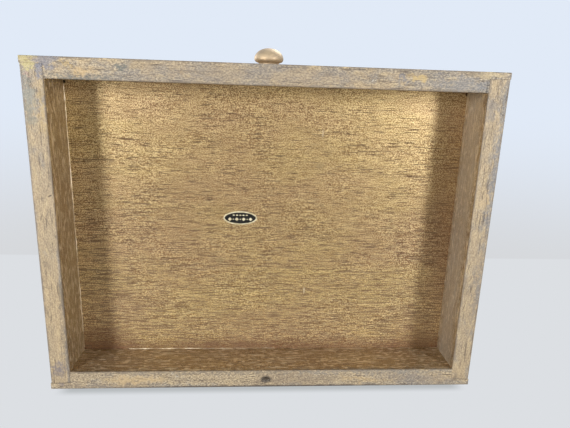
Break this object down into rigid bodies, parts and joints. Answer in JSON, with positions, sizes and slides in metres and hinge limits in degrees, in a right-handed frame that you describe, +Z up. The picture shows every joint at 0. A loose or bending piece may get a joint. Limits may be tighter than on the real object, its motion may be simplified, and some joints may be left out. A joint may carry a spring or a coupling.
{
  "type": "wooden puzzle box",
  "caption": "Wooden puzzle box with a recessed base, a knobbed drawer with a turning lock, and a hinged lid held by a sliding side key.",
  "frame": {"origin": "under the centre of the footprint, with the knob counted in, on the plane of the base rim", "axes": "+Z up through the lid, -Y out of the front towards the knob, +X to the right of someone who faces the front"},
  "size_m": [0.2312, 0.1816, 0.0903],
  "materials": {
    "painted_wood": "worn gold paint over grey-brown wood",
    "painted_ply": "gold paint on open-pored plywood",
    "bare_wood": "bare planed wood",
    "bare_ply": "bare plywood",
    "key_wood": "gold paint, rubbed by use",
    "felt": "short matt pile",
    "brass": "satin",
    "steel": "zinc plated",
    "label_foil": "gloss foil with a gold edge"
  },
  "bodies": {
    "case": {"left_side_board": "painted_wood", "right_side_board": "painted_wood", "front_rail": "painted_wood", "upper_front_board": "painted_wood", "back_board": "painted_wood", "bottom_panel": "painted_ply", "divider_panel": "bare_ply", "case_brads": "steel", "compartment_lining": "felt", "oval_label": "label_foil", "drawer_stop": "bare_wood", "stop_screw": "steel", "hinge_case_leaves": "brass", "hinge_pins": "steel", "hinge_case_screws": "brass"},
    "drawer": {"drawer_front": "painted_wood", "drawer_left_side": "bare_wood", "drawer_right_side": "bare_wood", "drawer_back": "bare_wood", "drawer_bottom": "bare_ply", "drawer_lining": "felt", "drawer_brads": "steel", "cam_stop_pins": "brass"},
    "knob": {"knob": "brass", "knob_spindle": "steel", "lock_cam": "brass", "cam_nut": "steel"},
    "lid": {"lid_front_rail": "painted_wood", "lid_back_rail": "painted_wood", "lid_left_rail": "painted_wood", "lid_right_rail": "painted_wood", "lid_panel": "painted_ply", "lid_lining": "felt", "lid_brads": "steel", "lid_catch": "brass", "catch_screws": "brass", "hinge_lid_leaves": "brass", "hinge_lid_screws": "brass"},
    "key": {"key_lath": "key_wood", "key_peg": "brass"}
  },
  "joints": [
    {"name": "drawer_slide", "type": "slide", "parent": "case", "child": "drawer", "axis": [0, -1, 0], "range_m": [0, 0.105]},
    {"name": "knob_turn", "type": "hinge", "parent": "drawer", "child": "knob", "pos_m": [-0.0011, -0.08075, 0.04], "axis": [0, 1, 0], "range_deg": [-90, 0]},
    {"name": "lid_hinge", "type": "hinge", "parent": "case", "child": "lid", "pos_m": [0, 0.08815, 0.07615], "axis": [-1, 0, 0], "range_deg": [0, 95]},
    {"name": "key_slide", "type": "slide", "parent": "case", "child": "key", "axis": [0, 1, 0], "range_m": [-0.009, 0]}
  ]
}
